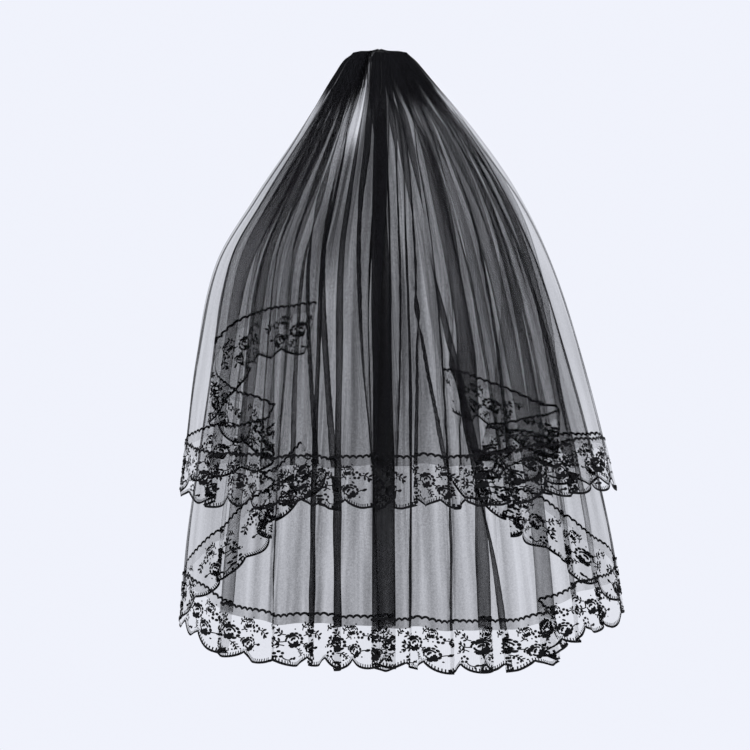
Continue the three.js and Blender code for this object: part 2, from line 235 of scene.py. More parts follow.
# The slit beside the middle, where the net is thinnest: its turn and half width, the drops between which
# it closes below and those where that ends, and how many layers the cloth gains there
SLIT_TURN = -18.5
SLIT_WIDTH = 5.0
SLIT_CLOSES = (0.095, 0.150)
SLIT_ENDS = (0.220, 0.340)
SLIT_LAYERS = 3.5

# The tiers, with the drop where each one's hem density is reached, how many fine gathers it has, the turn
# of its front edges, and the nodes that its pieces replace
Tier = namedtuple(
    "Tier", "name form hem pleats density hem_zone calm gathers front_edge net_node lace_node")
TIERS = (
    Tier(name="upper", form=UPPER_FORM, hem=UPPER_HEM, pleats=UPPER_PLEATS, density=UPPER_DENSITY,
         hem_zone=0.54, calm=UPPER_CALM, gathers=64, front_edge=166,
         net_node="upper_tier", lace_node="upper_lace"),
    Tier(name="lower", form=LOWER_FORM, hem=LOWER_HEM, pleats=LOWER_PLEATS, density=LOWER_DENSITY,
         hem_zone=0.74, calm=LOWER_CALM, gathers=50, front_edge=156,
         net_node="lower_tier", lace_node="lower_lace"),
)

# One repeat of the lace, flat. u runs along the edge from the left cusp of a scallop, and v is the height
# above the bottom of the scallops. A turn in these rows is in degrees. A bloom has some petals of those that
# would fill its rim, and a twig bows by bend and has pairs of leaves.
Bloom = namedtuple("Bloom", "u v width height turn petals of")
BLOOMS = (
    Bloom(0.026, 0.037, 0.0315, 0.0215, 0, 9, 12),
    Bloom(0.056, 0.025, 0.0215, 0.0200, 25, 8, 11),
    Bloom(0.053, 0.054, 0.0155, 0.0130, -10, 6, 8),
)
Flower = namedtuple("Flower", "u v width petals")
FLOWERS = (Flower(0.0645, 0.047, 0.0128, 5), Flower(0.006, 0.020, 0.0118, 5))
Bud = namedtuple("Bud", "u v length breadth turn")
BUDS = (
    Bud(0.0235, 0.0118, 0.0060, 0.0042, 20), Bud(0.060, 0.0375, 0.0050, 0.0026, 140),
)
Twig = namedtuple("Twig", "u v to_u to_v bend pairs leaf")
TWIGS = (
    Twig(0.068, 0.046, 0.081, 0.040, 0.003, 2, 0.0066),
    Twig(0.015, 0.046, 0.005, 0.053, 0.002, 2, 0.0058),
    Twig(0.013, 0.037, 0.000, 0.041, 0.002, 2, 0.0060),
    Twig(0.012, 0.031, -0.001, 0.031, -0.002, 2, 0.0053),
    Twig(0.009, 0.016, 0.021, 0.0115, -0.003, 1, 0.0043),
    Twig(0.042, 0.043, 0.048, 0.050, -0.002, 2, 0.0048),
    Twig(0.040, 0.032, 0.047, 0.027, 0.002, 2, 0.0048),
    Twig(0.030, 0.025, 0.040, 0.0165, 0.002, 3, 0.0043),
    Twig(0.040, 0.050, 0.046, 0.059, 0.002, 2, 0.0048),
    Twig(0.094, 0.050, 0.099, 0.057, 0.002, 2, 0.0046),
    Twig(0.064, 0.0235, 0.0745, 0.0262, 0.001, 0, 0.0070),
)
Dot = namedtuple("Dot", "u v")
DOTS = (
    Dot(0.050, 0.042), Dot(0.056, 0.043), Dot(0.036, 0.014), Dot(0.029, 0.052), Dot(0.058, 0.062),
    Dot(0.074, 0.049), Dot(0.045, 0.017), Dot(0.096, 0.028), Dot(0.004, 0.060), Dot(0.068, 0.017),
)
DOT_SIDES = 6
DOT_RADIUS = 0.0012

# A flower's petals, as shares of its half width, and how far it is turned, in radians
PETAL_SIDES = 8
FLOWER_TURN = 0.3
FLOWER_PETAL_OUT = 0.66
FLOWER_PETAL_LENGTH = 0.62
FLOWER_PETAL_BREADTH = 0.72

# A twig's stem, and its leaves: their angle to the stem in radians, and shares of a leaf's length
STEM_WIDTH = 0.0015
STEM_STEPS = 5
LEAF_SIDES = 6
LEAF_TURN = 0.95
LEAF_OUT = 0.6
LEAF_BREADTH = 0.5
TIP_BREADTH = 0.6

# The edges: the header of small arches, the scalloped edge and the picots, all sewn on higher than the rest
HEADER_ARCHES = 11
HEADER_STEPS = 6
HEADER_RISE = 0.0030
HEADER_WIDTH = 0.0033
HEADER_HEIGHT = 0.0712
HEADER_ROUNDNESS = 0.8
EDGE_WIDTH = 0.0031
EDGE_STEPS = 20
PICOT_PITCH = 0.0026
PICOT_LENGTH = 0.0038
PICOT_WIDTH = 0.0011
SCALLOPS_PER_REPEAT = 2

# A bloom's parts, as shares of its half width. An arc has a radius and two ends in whole turns. The petals
# begin at an angle in radians, and those of a full rim share PETAL_BREADTH.
Arc = namedtuple("Arc", "radius start end")
ARC_STEPS = 7
HEART_UPPER = Arc(0.24, 0.12, 0.55)
HEART_LOWER = Arc(0.24, 0.60, 1.05)
HEART_SHIFT = 0.12
HEART_THREAD = 1.3
BLOOM_THREAD = 0.125
BLOOM_RINGS = (Arc(0.56, 0.02, 0.40), Arc(0.56, 0.50, 0.93), Arc(0.76, 0.20, 0.52), Arc(0.78, 0.62, 0.88))
PETALS_FROM = -1.9
PETAL_OUT = 0.88
PETAL_LENGTH = 0.34
PETAL_BREADTH = 5.6

# The lace's own net, and how high the threads lie over it
GROUND_COLUMN = 0.002
GROUND_ROWS = 12
THREAD_RISE = 0.0003
EDGE_RISE = 0.0005
THREAD_SLOT = 1

# What the materials read from a mesh
CLOTH_MAP = "cloth"
LAYERS = "layers"

# The net's pattern of six-sided holes: the sums of its three waves between which a thread fades into a
# hole, the pattern's mean and its contrast, and how much coarser the lace's own net is
HOLE_EDGE = (-1.0, 0.6)
THREAD_MEAN = 0.47
THREAD_CONTRAST = 0.28
LACE_CELL = 1.35

# Soft folds that run down the cloth, drawn by a noise stretched along it, and the grain of crumpled net,
# which also places the net's painted sheen
FOLDS_ACROSS = 70.0
FOLDS_DOWN = 1.1
FOLD_EDGE = (0.34, 0.66)
FOLD_CONTRAST = 0.375
GRAIN_SCALE = 430.0
GRAIN_CONTRAST = 0.45

# The finishes of net, thread and comb. DULL is how little net and thread shine, and the factor after
# the net's and the thread's roughness is how much lighter their colour is painted in places: a painted
# sheen.
DULL = 0.04
NET_ROUGHNESS = 0.7
NET_PAINTED_SHEEN = 1.7
THREAD_ROUGHNESS = 0.6
THREAD_PAINTED_SHEEN = 2.6
STITCH_SCALE = 420.0
STITCH_DISTORTION = 4.0
COMB_DARK = (0.0060, 0.0060, 0.0065)
COMB_LIGHT = (0.0120, 0.0110, 0.0110)
COMB_CLOUD_SCALE = 90.0
COMB_SCUFF_SCALE = 900.0
COMB_ROUGHNESS = 0.18
COMB_WEAR = 0.16
COMB_IOR = 1.49
Relief = namedtuple("Relief", "strength depth")
NET_RELIEF = Relief(0.25, 0.0003)
GROUND_RELIEF = Relief(0.3, 0.0003)
THREAD_RELIEF = Relief(0.5, 0.0004)
COMB_RELIEF = Relief(0.12, 0.0001)
LITTLE_DETAIL = 2.0
SOME_DETAIL = 3.0
FINE_DETAIL = 4.0

# The Mix node's sockets for colours, which share their names with its other sockets
MIX_SHARE, MIX_FIRST, MIX_SECOND = 0, 6, 7
MIX_RESULT = 2

# The stage
FLOOR_DROP = 1.6
FLOOR_RADIUS = 8.0
FLOOR_SIDES = 96
FLOOR_DARK = (0.86, 0.87, 0.90)
FLOOR_LIGHT = (0.90, 0.91, 0.94)
FLOOR_CLOUD_SCALE = 3.0
FLOOR_ROUGHNESS = 0.9
Lamp = namedtuple("Lamp", "name place size power")
LAMPS = (
    Lamp("key", (-2.2, -2.6, 1.6), 1.6, 60),
    Lamp("fill", (2.4, -2.2, 0.6), 2.0, 34),
    Lamp("rim", (0.6, 2.6, 1.8), 1.8, 40),
)
LAMPS_AIM = (0, 0, -0.4)
SENSOR_MM = 36.0
CAMERA_REACH = 100
BOUNCES = 6
CLEAR_BOUNCES = 64


# Settings


class ClothSettings(bpy.types.PropertyGroup):
    """The net and its colour"""

    net_cover: bpy.props.FloatProperty(
        name="Net cover", description="Share of the light that one layer of net keeps back",
        default=0.195, min=0.02, max=0.9, subtype="FACTOR")
    net_cell: bpy.props.FloatProperty(
        name="Net cell", description="Distance between the holes of the net",
        default=0.0013, min=0.0005, max=0.01, unit="LENGTH")
    net_colour: bpy.props.FloatVectorProperty(
        name="Net colour", description="Colour of the net's thread",
        default=(0.0030, 0.0030, 0.0037), size=3, min=0, max=1, subtype="COLOR")


class LaceSettings(bpy.types.PropertyGroup):
    """The lace edging"""

    hang: bpy.props.FloatProperty(
        name="Hang", description="How far the lace hangs below the net's cut edge",
        default=0.060, min=0.02, max=0.2, unit="LENGTH")
    overlap: bpy.props.FloatProperty(
        name="Overlap", description="How far the lace lies over the net",
        default=0.015, min=0, max=0.05, unit="LENGTH")
    repeat: bpy.props.FloatProperty(
        name="Repeat", description="Length of one repeat of the flowers, which is two scallops",
        default=0.100, min=0.04, max=0.4, unit="LENGTH")
    scallop_depth: bpy.props.FloatProperty(
        name="Scallop depth", description="Height of the notches between the scallops",
        default=0.012, min=0, max=0.04, unit="LENGTH")
    clearance: bpy.props.FloatProperty(
        name="Clearance", description="Distance of the lace from the middle of the net",
        default=0.0015, min=0.0005, max=0.01, unit="LENGTH")
    ground_cover: bpy.props.FloatProperty(
        name="Ground cover", description="Share of the light that the lace's own net keeps back",
        default=0.13, min=0.02, max=0.9, subtype="FACTOR")
    thread_colour: bpy.props.FloatVectorProperty(
        name="Thread colour", description="Colour of the embroidery thread",
        default=(0.0030, 0.0030, 0.0034), size=3, min=0, max=1, subtype="COLOR")


class StageSettings(bpy.types.PropertyGroup):
    """The backdrop and the camera"""

    backdrop: bpy.props.FloatVectorProperty(
        name="Backdrop", description="Colour of the light all round",
        default=(0.872, 0.892, 0.972), size=3, min=0, max=2, subtype="COLOR")
    distance: bpy.props.FloatProperty(
        name="Camera distance", description="How far the camera stands from the veil's middle",
        default=12.0, min=1, unit="LENGTH")
    frame_width: bpy.props.FloatProperty(
        name="Frame width", description="Width of the view at the veil's middle",
        default=1.05, min=0.1, unit="LENGTH")
    centre_x: bpy.props.FloatProperty(
        name="Centre sideways", description="Where the view's middle lies, to the right of the comb",
        default=-0.0056, unit="LENGTH")
    centre_z: bpy.props.FloatProperty(
        name="Centre upwards", description="Where the view's middle lies, above the comb",
        default=-0.438, unit="LENGTH")


# Shader maths


class Wire:
    """A socket, so that shader maths reads as an expression"""

    def __init__(self, shader, socket):
        self.shader = shader
        self.socket = socket

    def maths(self, operation, *values):
        inputs = dict(enumerate(values))
        return self.shader.add("ShaderNodeMath", {"operation": operation}, inputs)

    def __add__(self, other):
        return self.maths("ADD", self, other)

    __radd__ = __add__

    def __sub__(self, other):
        return self.maths("SUBTRACT", self, other)

    def __rsub__(self, other):
        return self.maths("SUBTRACT", other, self)

    def __mul__(self, other):
        return self.maths("MULTIPLY", self, other)

    __rmul__ = __mul__

    def __rpow__(self, other):
        return self.maths("POWER", other, self)

    def cosine(self):
        return self.maths("COSINE", self)

    def between(self, low, high):
        """How far the value lies from low to high, from 0 to 1 and smooth at both ends"""
        settings = {"interpolation_type": "SMOOTHSTEP"}
        inputs = {"Value": self, "From Min": low, "From Max": high}
        return self.shader.add("ShaderNodeMapRange", settings, inputs)


class Shader:
    """A material's nodes, each of them made by one method"""

    def __init__(self, name):
        self.material = bpy.data.materials.new(name)
        self.material.use_nodes = True
        self.tree = self.material.node_tree
        self.tree.nodes.clear()

    def make(self, kind, settings, inputs):
        node = self.tree.nodes.new(kind)
        for name, value in settings.items():
            setattr(node, name, value)
        for name, value in inputs.items():
            if isinstance(value, Wire):
                self.tree.links.new(value.socket, node.inputs[name])
            else:
                node.inputs[name].default_value = value
        return node

    def add(self, kind, settings, inputs, output=0):
        """Makes a node and gives one of its outputs"""
        return Wire(self, self.make(kind, settings, inputs).outputs[output])

    def place(self):
        """The place on the object, in metres"""
        return self.add("ShaderNodeTexCoord", {}, {}, "Object")

    def cloth_place(self):
        """The place on the flat cloth, from 0 to 1"""
        return self.add("ShaderNodeUVMap", {"uv_map": CLOTH_MAP}, {})

    def noise(self, place, scale, detail):
        return self.add("ShaderNodeTexNoise", {}, {"Vector": place, "Scale": scale, "Detail": detail})

    def tint(self, share, first, second):
        """A colour between two others"""
        sockets = {MIX_SHARE: share, MIX_FIRST: (*first, 1), MIX_SECOND: (*second, 1)}
        return self.add("ShaderNodeMix", {"data_type": "RGBA"}, sockets, MIX_RESULT)

    def bump(self, height, relief):
        sockets = {"Height": height, "Strength": relief.strength, "Distance": relief.depth}
        return self.add("ShaderNodeBump", {}, sockets)

    def finish(self, **inputs):
        sockets = {name.replace("_", " "): value for name, value in inputs.items()}
        surface = self.add("ShaderNodeBsdfPrincipled", {}, sockets)
        self.make("ShaderNodeOutputMaterial", {}, {"Surface": surface})
        return self.material


# Finishes


def lighter(colour, times):
    return tuple(times * part for part in colour)


def net_threads(shader, width, length, cell):
    """The threads of a net with six-sided holes: 1 on a thread and 0 in a hole"""
    split = shader.make("ShaderNodeSeparateXYZ", {}, {"Vector": shader.cloth_place()})
    across = Wire(shader, split.outputs["X"]) * (width * math.tau / cell)
    down = Wire(shader, split.outputs["Y"]) * (length * math.tau / cell)
    slant = down * math.sin(math.pi / 3)
    holes = across.cosine() + (across * 0.5 + slant).cosine() + (across * 0.5 - slant).cosine()
    return 1 - holes.between(*HOLE_EDGE)


def even_out(pattern, contrast, mean=0.5):
    """Brings a pattern to a mean of 1, with a softer contrast"""
    return pattern * (contrast / mean) + (1 - contrast)


def net_material(name, width, length, cloth):
    """Black net, as dark as the layers that it counts as"""
    shader = Shader(name)
    scales = {0: shader.cloth_place(), 1: (FOLDS_ACROSS, FOLDS_DOWN, 1)}
    stretched = shader.add("ShaderNodeVectorMath", {"operation": "MULTIPLY"}, scales)
    folds = shader.noise(stretched, 1.0, FINE_DETAIL)
    grain = shader.noise(shader.place(), GRAIN_SCALE, SOME_DETAIL)
    layers = shader.add("ShaderNodeAttribute", {"attribute_name": LAYERS}, {}, "Fac")
    threads = even_out(
        net_threads(shader, width, length, cloth.net_cell), THREAD_CONTRAST, THREAD_MEAN)
    soft_folds = even_out(folds.between(*FOLD_EDGE), FOLD_CONTRAST)
    crumple = even_out(grain, GRAIN_CONTRAST)
    clear = (1 - cloth.net_cover) ** (layers * threads * soft_folds * crumple)
    # The net's colour is painted lighter where the grain is high: a painted sheen for light caught by its
    # fibres
    return shader.finish(
        Base_Color=shader.tint(grain, cloth.net_colour, lighter(cloth.net_colour, NET_PAINTED_SHEEN)),
        Roughness=NET_ROUGHNESS, Specular_IOR_Level=DULL, Alpha=1 - clear,
        Normal=shader.bump(threads, NET_RELIEF))


def ground_material(name, width, length, lace, cloth):
    """The lace's own net"""
    shader = Shader(name)
    grain = shader.noise(shader.place(), GRAIN_SCALE, LITTLE_DETAIL)
    threads = even_out(
        net_threads(shader, width, length, cloth.net_cell * LACE_CELL), THREAD_CONTRAST, THREAD_MEAN)
    crumple = even_out(grain, GRAIN_CONTRAST)
    return shader.finish(
        Base_Color=(*cloth.net_colour, 1), Roughness=NET_ROUGHNESS, Specular_IOR_Level=DULL,
        Alpha=threads * crumple * lace.ground_cover, Normal=shader.bump(threads, GROUND_RELIEF))


def thread_material(name, lace):
    """Stitched black thread, its colour painted lighter in a cloud of noise: a painted sheen"""
    shader = Shader(name)
    place = shader.place()
    cloud = shader.noise(place, STITCH_SCALE, SOME_DETAIL)
    waves = {"Vector": place, "Scale": STITCH_SCALE, "Distortion": STITCH_DISTORTION}
    stitches = shader.add("ShaderNodeTexWave", {"bands_direction": "DIAGONAL"}, waves, "Fac")
    return shader.finish(
        Base_Color=shader.tint(cloud, lace.thread_colour, lighter(lace.thread_colour, THREAD_PAINTED_SHEEN)),
        Roughness=THREAD_ROUGHNESS, Specular_IOR_Level=DULL,
        Normal=shader.bump(stitches, THREAD_RELIEF))


def comb_material():
    """Dark plastic with fine scuffs"""
    shader = Shader("comb_plastic")
    place = shader.place()
    scuffs = shader.noise(place, COMB_SCUFF_SCALE, FINE_DETAIL)
    cloud = shader.noise(place, COMB_CLOUD_SCALE, LITTLE_DETAIL)
    return shader.finish(
        Base_Color=shader.tint(cloud, COMB_DARK, COMB_LIGHT), Roughness=scuffs * COMB_WEAR + COMB_ROUGHNESS,
        Normal=shader.bump(scuffs, COMB_RELIEF), IOR=COMB_IOR)


# Drape


def smoothstep(value, low, high):
    share = np.clip((value - low) / (high - low), 0, 1)
    return share * share * (3 - 2 * share)


def read(rows, key, at, column):
    """Reads a column smoothly between a table's rows, and straight on past its ends"""
    keys = np.array([getattr(row, key) for row in rows], float)
    values = np.array([getattr(row, column) for row in rows], float)
    before = np.maximum(np.arange(len(rows)) - 1, 0)
    after = np.minimum(np.arange(len(rows)) + 1, len(rows) - 1)
    slopes = (values[after] - values[before]) / (keys[after] - keys[before])
    i = np.clip(np.searchsorted(keys, at) - 1, 0, len(rows) - 2)
    span = keys[i + 1] - keys[i]
    share = (at - keys[i]) / span
    rise = share * share * (3 - 2 * share)
    ease = share * (1 - share)
    inside = values[i] * (1 - rise) + values[i + 1] * rise
    inside += ease * span * ((1 - share) * slopes[i] - share * slopes[i + 1])
    below = values[i] + share * span * slopes[i]
    above = values[i + 1] + (share - 1) * span * slopes[i + 1]
    return np.where(share < 0, below, np.where(share > 1, above, inside))


def on_form(form, turn, drop, outwards):
    """The place on a tier's plain form, without pleats, moved outwards by a distance"""
    angle = np.radians(turn)
    across = np.where(turn < 0, read(form, "drop", drop, "left"), read(form, "drop", drop, "right"))
    back = read(form, "drop", drop, "back")
    front = read(form, "drop", drop, "front")
    deep = np.where(np.abs(turn) < 90, back, front)
    normal = np.stack([np.sin(angle) / across, -np.cos(angle) / deep], -1)
    normal /= np.linalg.norm(normal, axis=-1, keepdims=True)
    x = across * np.sin(angle) + normal[..., 0] * outwards
    y = -deep * np.cos(angle) + normal[..., 1] * outwards
    return np.stack([x, y, -drop], -1)


def sway(x):
    """A smooth there-and-back step, 1 at -1, -1 at 1, and nothing far away"""
    return -x * np.exp((1 - x * x) / 2)


def arch(share):
    """0 at both ends and 1 halfway"""
    return 4 * share * (1 - share)


Fold = namedtuple("Fold", "pleat width reach depth")
Gather = namedtuple("Gather", "turn lean width reach end")


class Drape:
    """A tier's draped cloth, which says where each point of the flat cloth hangs"""

    def __init__(self, tier):
        self.tier = tier
        self.hem_drop = float(read(tier.hem, "turn", 0.0, "drop"))
        self.folds = [self.fold(pleat) for pleat in tier.pleats]
        gathers = [self.gather(i) for i in range(tier.gathers)]
        self.gathers = [gather for gather in gathers if gather.end > 0]
        reach = tier.front_edge + PAST_EDGE
        self.turns = np.arange(-reach, reach + TURN_STEP / 2, TURN_STEP)
        self.walks = np.zeros(len(self.turns))
        line = self.place(self.turns, np.full(len(self.turns), self.hem_drop))
        steps = np.linalg.norm(np.diff(line, axis=0), axis=1)
        self.walks[1:] = np.cumsum(steps)
        self.walks -= np.interp(0.0, self.turns, self.walks)
        first, last = np.interp([-tier.front_edge, tier.front_edge], self.turns, self.walks)
        self.width = last - first
        self.edge_walks = np.arange(first, last, EDGE_STEP)
        slopes = np.diff(self.cut_drop(self.edge_walks))
        self.edge_alongs = np.concatenate([[0], np.cumsum(np.hypot(EDGE_STEP, slopes))])
        self.edge_length = float(self.edge_alongs[-1])
        self.longest = float(max(row.drop for row in tier.hem)) - TOP_DROP

    def fold(self, pleat):
        """A pleat's place and size in degrees"""
        hem = np.full(2, self.hem_drop)
        ends = on_form(self.tier.form, np.array([pleat.turn, pleat.turn + 1.0]), hem, np.zeros(2))
        per_degree = np.linalg.norm(ends[1] - ends[0])
        width = PLEAT_WIDTH * pleat.lap / per_degree
        reach = width + pleat.lap / per_degree / 2
        depth = min(LEAST_DEPTH + pleat.lap / FULL_DEPTH_LAP, 1.0)
        return Fold(pleat, width, reach, depth)

    def across_fold(self, fold, even_turn, drop):
        """How far from a fold's middle, in its widths, and how far the fold has grown"""
        middle = fold.pleat.turn + fold.pleat.drift * (1 - drop / self.hem_drop)
        grown = smoothstep(drop, fold.pleat.start, fold.pleat.start + PLEAT_GROWTH)
        return (even_turn - middle) / fold.width, grown

    def gather(self, i):
        """A fine gather's place and size in degrees, and the drop where it ends"""
        spacing = 2 * self.tier.front_edge / self.tier.gathers
        chance = i * GOLDEN % 1
        even = spacing * (i + 0.5) - self.tier.front_edge
        turn = even + GATHER_JITTER * spacing * math.sin(i * math.tau * GOLDEN)
        size = 1 + GATHER_SPREAD * (i * GOLDEN * GOLDEN % 1 - 0.5)
        width = GATHER_SHARE * spacing * size
        reach = width + GATHER_LAP * spacing * size / 2
        lean = 1 if turn > 0 else -1
        end = GATHERS_SHORTEST + (GATHERS_LONGEST - GATHERS_SHORTEST) * chance ** GATHERS_BIAS
        for calm in self.tier.calm:
            if calm.start < turn < calm.end:
                end = calm.drop
        return Gather(turn, lean, width, reach, end)

    def place(self, even_turn, drop):
        """Where a point of the cloth hangs, given by the turn that it would have without pleats"""
        deep = read(self.tier.form, "drop", drop, "pleat")
        turn = even_turn.copy()
        outwards = np.zeros(len(turn))
        for fold in self.folds:
            across, grown = self.across_fold(fold, even_turn, drop)
            swing = grown * sway(across)
            turn += fold.reach * swing
            outwards += deep * fold.depth * fold.pleat.lean * swing
        for gather in self.gathers:
            left = 1 - smoothstep(drop, gather.end * GATHER_FADE, gather.end)
            swing = left * sway((even_turn - gather.turn) / gather.width)
            turn += gather.reach * swing
            outwards += GATHER_DEPTH * deep * gather.lean * swing
        return on_form(self.tier.form, turn, drop, outwards)

    def rippled(self, walk, drop):
        """How far the ripples lift the cloth"""
        wander = RIPPLE_DRIFT * np.sin(drop * RIPPLE_BENDS_DOWN + walk * RIPPLE_BENDS_ALONG)
        phase = walk * (math.tau / RIPPLE_PITCH) + wander
        return RIPPLE_DEPTH * smoothstep(drop, *RIPPLE_GROWTH) * np.sin(phase)

    def bare(self, walk, drop):
        """The place of a point of the cloth, without ripples"""
        return self.place(np.interp(walk, self.walks, self.turns), drop)

    def at(self, walk, drop, off=0.0):
        """The place of a point of the cloth, moved off the cloth's outer face by a distance"""
        here = self.bare(walk, drop)
        along = (self.bare(walk + HEADING_STEP, drop) - self.bare(walk - HEADING_STEP, drop))[:, :2]
        along /= np.maximum(np.linalg.norm(along, axis=1, keepdims=True), SMALLEST)
        out = off + self.rippled(walk, drop)
        here[:, 0] += along[:, 1] * out
        here[:, 1] -= along[:, 0] * out
        return here

    def cut_drop(self, walk):
        """The drop of the net's cut edge"""
        even = read(self.tier.hem, "turn", np.interp(walk, self.walks, self.turns), "drop")
        return even + sum(wave.height * np.sin(walk * math.tau / wave.pitch) for wave in HEM_WAVES)

    def past_edge(self, along, out):
        """The walk and drop at a distance along the cut edge and a distance out past it"""
        walk = np.interp(along, self.edge_alongs, self.edge_walks)
        rise = self.cut_drop(walk + SLOPE_STEP) - self.cut_drop(walk - SLOPE_STEP)
        slope = rise / (2 * SLOPE_STEP)
        square = np.hypot(1, slope)
        return walk - out * slope / square, self.cut_drop(walk) + out / square

    def rag(self, walk):
        """How the top of the gathers strays, between -2 and 2"""
        return sum(np.sin(walk * math.tau / pitch) for pitch in RAG_PITCHES)

    def top_drop(self, walk):
        """The ragged top of the gathers"""
        return TOP_DROP + TOP_RAGGED * (self.rag(walk) + 1)


# Pieces


def add_piece(name, mesh, slot, *nodes):
    piece = bpy.data.objects.new(name, mesh)
    bpy.context.scene.collection.objects.link(piece)
    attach(piece, BODY)
    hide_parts(*nodes)
    return piece


def points_of(mesh):
    points = np.empty(len(mesh.vertices) * 3)
    mesh.vertices.foreach_get("co", points)
    return points.reshape(-1, 3)


def move_points(mesh, points):
    mesh.vertices.foreach_set("co", points.ravel())
    mesh.update()


def lay_uv(mesh, places):
    """Gives each point of the mesh its place on the flat cloth, from 0 to 1"""
    layer = mesh.uv_layers.get(CLOTH_MAP) or mesh.uv_layers.new(name=CLOTH_MAP)
    corners = np.empty(len(mesh.loops), int)
    mesh.loops.foreach_get("vertex_index", corners)
    layer.uv.foreach_set("vector", places[corners].ravel())


def cloth_layers(drape, grid, turns, drops):
    """How many layers of net the cloth counts as at each point of a grid of columns and rows"""
    around, *zones = np.array(drape.tier.density).T
    comb, middle, hem = (np.interp(turns, around, zone) for zone in zones)
    layers = comb + (middle - comb) * smoothstep(drops, COMB_ZONE_END, MIDDLE_DROP)
    layers += (hem - layers) * smoothstep(drops, MIDDLE_DROP, drape.tier.hem_zone)
    capped = smoothstep(comb, *CAP_DENSITIES) * (1 - smoothstep(drops, CAP_FULL, CAP_END)) ** 2
    layers += CAP_LAYERS * capped
    beside = np.exp(-((turns - SLIT_TURN) / SLIT_WIDTH) ** 2)
    layers += SLIT_LAYERS * beside * smoothstep(drops, *SLIT_CLOSES) * (1 - smoothstep(drops, *SLIT_ENDS))
    for fold in drape.folds:
        across, grown = drape.across_fold(fold, turns, drops)
        layers += fold.pleat.bunch * grown * np.exp(-across * across)
    steps = np.diff(grid, axis=0)
    heading = np.arctan2(steps[..., 1], steps[..., 0])
    bend = np.abs((np.diff(heading, axis=0) + math.pi) % math.tau - math.pi)
    crease = np.clip(np.pad(bend, ((1, 1), (0, 0))) / CREASE_ANGLE, 0, 1)
    return np.minimum(layers * (1 + CREASE_LAYERS * crease), MOST_LAYERS)


def flat_grid(columns, rows):
    """A flat grid one across and one high, with its middle at the origin"""
    bm = bmesh.new()
    bmesh.ops.create_grid(bm, x_segments=columns, y_segments=rows, size=0.5)
    return bm


def finished_mesh(bm, name):
    mesh = bpy.data.meshes.new(name)
    bm.to_mesh(mesh)
    bm.free()
    return mesh


def shape_top(points, rag, down):
    """Tucks in the rim of the gathers, and shapes the crest below it"""
    tuck = np.clip(1 - down / TUCK_SHARE, 0, 1)
    points[:, :2] *= (1 - TUCK_INWARDS * tuck)[:, None]
    points[:, 2] -= TUCK_DOWN * tuck
    points[:, 2] += CREST * rag * arch(np.clip(down / CREST_SHARE, 0, 1))


def mark_layers(mesh, drape, points, flat, walk, drop):
    """Writes the layers at each point of a net into its mesh, column by column"""
    along, down = np.round(flat[:, 0], GRID_DIGITS), np.round(1 - flat[:, 1], GRID_DIGITS)
    order = np.lexsort((down, along))
    columns = len(np.unique(along))
    grid = points[order].reshape(columns, -1, 3)
    turns = np.interp(walk, drape.walks, drape.turns)[order].reshape(columns, -1)
    drops = drop[order].reshape(columns, -1)
    layers = np.empty(len(points), np.float32)
    layers[order] = cloth_layers(drape, grid, turns, drops).ravel()
    mesh.attributes.new(LAYERS, "FLOAT", "POINT").data.foreach_set("value", layers)


def make_net(tier, cloth):
    """One tier's net, draped in pleats and gathers"""
    drape = Drape(tier)
    mesh = finished_mesh(flat_grid(NET_COLUMNS, NET_ROWS), tier.name + "_net")
    flat = points_of(mesh)[:, :2] + 0.5
    along, down = flat[:, 0], 1 - flat[:, 1]
    walk, cut = drape.past_edge(along * drape.edge_length, np.zeros(len(along)))
    top = drape.top_drop(walk)
    drop = top + (cut - top) * down ** ROW_CROWDING
    points = drape.at(walk, drop)
    shape_top(points, drape.rag(walk), down)
    move_points(mesh, points)
    lay_uv(mesh, np.stack([walk / drape.width + 0.5, 1 - (drop - TOP_DROP) / drape.longest], -1))
    mark_layers(mesh, drape, points, flat, walk, drop)
    mesh.shade_smooth()
    mesh.materials.append(net_material(tier.name + "_tulle", drape.width, drape.longest, cloth))
    piece = add_piece(tier.name + "_net", mesh, "tulle", tier.net_node)
    return piece, drape


def flat_area(drape):
    """Area of the cut cloth, laid flat"""
    walks = drape.edge_walks
    return float(np.sum(drape.cut_drop(walks) - TOP_DROP) * EDGE_STEP)


# Lace


def ellipse(bm, place, length, breadth, sides):
    matrix = place @ Matrix.Diagonal((length / 2, breadth / 2, 1, 1))
    bmesh.ops.create_circle(bm, cap_ends=True, segments=sides, radius=1, matrix=matrix)


def placed(u, v, turn=0.0, rise=THREAD_RISE):
    return Matrix.Translation((u, v, rise)) @ Matrix.Rotation(turn, 4, "Z")


def lay_curve(bm, place, points, width):
    """A thread along points given on a motif's own scale"""
    spots = [place @ Vector((x, y, 0)) for x, y in points]
    lay_thread(bm, [(spot.x, spot.y) for spot in spots], width, spots[0].z)


def points_on(arc):
    angles = np.linspace(arc.start, arc.end, ARC_STEPS + 1) * math.tau
    return [(arc.radius * math.cos(angle), arc.radius * math.sin(angle)) for angle in angles]


def lay_bloom(bm, bloom):
    """A full bloom: a curled heart, rings round it that are open in places, and dark petals on one side"""
    place = placed(bloom.u, bloom.v, math.radians(bloom.turn))
    place = place @ Matrix.Diagonal((bloom.width / 2, bloom.height / 2, 1, 1))
    thick = BLOOM_THREAD * min(bloom.width, bloom.height)
    lower = place @ Matrix.Translation((HEART_SHIFT, -HEART_SHIFT, 0))
    lay_curve(bm, place, points_on(HEART_UPPER), thick * HEART_THREAD)
    lay_curve(bm, lower, points_on(HEART_LOWER), thick * HEART_THREAD)
    for ring in BLOOM_RINGS:
        lay_curve(bm, place, points_on(ring), thick)
    for i in range(bloom.petals):
        turned = place @ Matrix.Rotation(PETALS_FROM + i * math.tau / bloom.of, 4, "Z")
        petal = turned @ Matrix.Translation((PETAL_OUT, 0, 0))
        ellipse(bm, petal, PETAL_LENGTH, PETAL_BREADTH / bloom.of, PETAL_SIDES)


